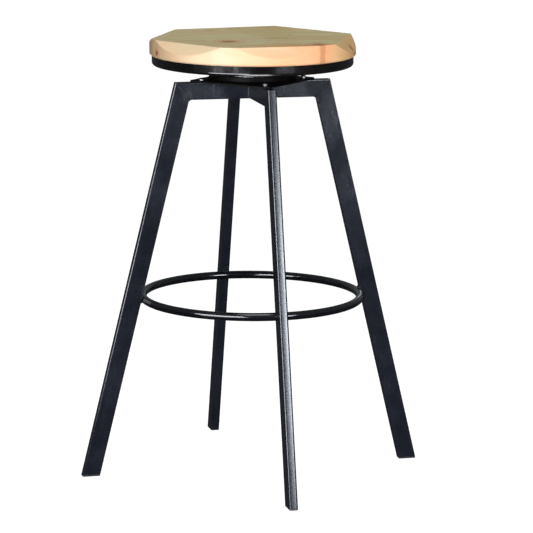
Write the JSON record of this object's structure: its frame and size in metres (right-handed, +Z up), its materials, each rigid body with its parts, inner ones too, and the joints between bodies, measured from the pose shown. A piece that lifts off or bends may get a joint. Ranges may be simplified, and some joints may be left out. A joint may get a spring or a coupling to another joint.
{
  "type": "bar stool with footrest",
  "caption": "Tall backless stool: crossed bent-tube legs with a round foot ring, a ball-bearing swivel, and a round pine seat with faceted upper edges in a black pan.",
  "frame": {"origin": "on the floor, under the swivel axis", "axes": "+Z up along the swivel axis, +X along the full-length top bar to the right leg, -Y towards the front leg"},
  "size_m": [0.5956, 0.5956, 0.75],
  "materials": {
    "frame_paint": "satin black powder coat",
    "ring_paint": "gloss black paint",
    "pan_paint": "gloss black paint",
    "swivel_paint": "black, slightly greasy",
    "plug_plastic": "moulded black plastic",
    "zinc": "bright zinc plate",
    "cage_steel": "plain pressed steel",
    "ball_steel": "polished bearing steel",
    "pine": "clear matt lacquer on knotty pine"
  },
  "bodies": {
    "base": {"top_bar": "frame_paint", "arm_front": "frame_paint", "arm_rear": "frame_paint", "leg_left": "frame_paint", "leg_right": "frame_paint", "leg_front": "frame_paint", "leg_rear": "frame_paint", "foot_ring": "ring_paint", "foot_plug_left": "plug_plastic", "foot_plug_right": "plug_plastic", "foot_plug_front": "plug_plastic", "foot_plug_rear": "plug_plastic", "ring_welds": "frame_paint", "mitre_welds": "frame_paint", "arm_welds": "frame_paint", "swivel_lower_plate": "swivel_paint", "plate_screws": "zinc", "kingpin": "zinc", "pin_spacer": "zinc", "pin_washer": "zinc"},
    "ball_ring": {"ball_cage": "cage_steel", "bearing_balls": "ball_steel"},
    "seat": {"swivel_upper_plate": "swivel_paint", "seat_screws": "zinc", "seat_pan": "pan_paint", "seat_board": "pine"}
  },
  "joints": [
    {"name": "seat_swivel", "type": "hinge", "parent": "base", "child": "seat", "pos_m": [0, 0, 0.69], "axis": [0, 0, 1], "continuous": true},
    {"name": "ball_ring_roll", "type": "hinge", "parent": "base", "child": "ball_ring", "pos_m": [0, 0, 0.69], "axis": [0, 0, 1], "continuous": true}
  ],
  "couplings": [
    {"joint": "ball_ring_roll", "follows": "seat_swivel", "ratio": 0.5}
  ]
}
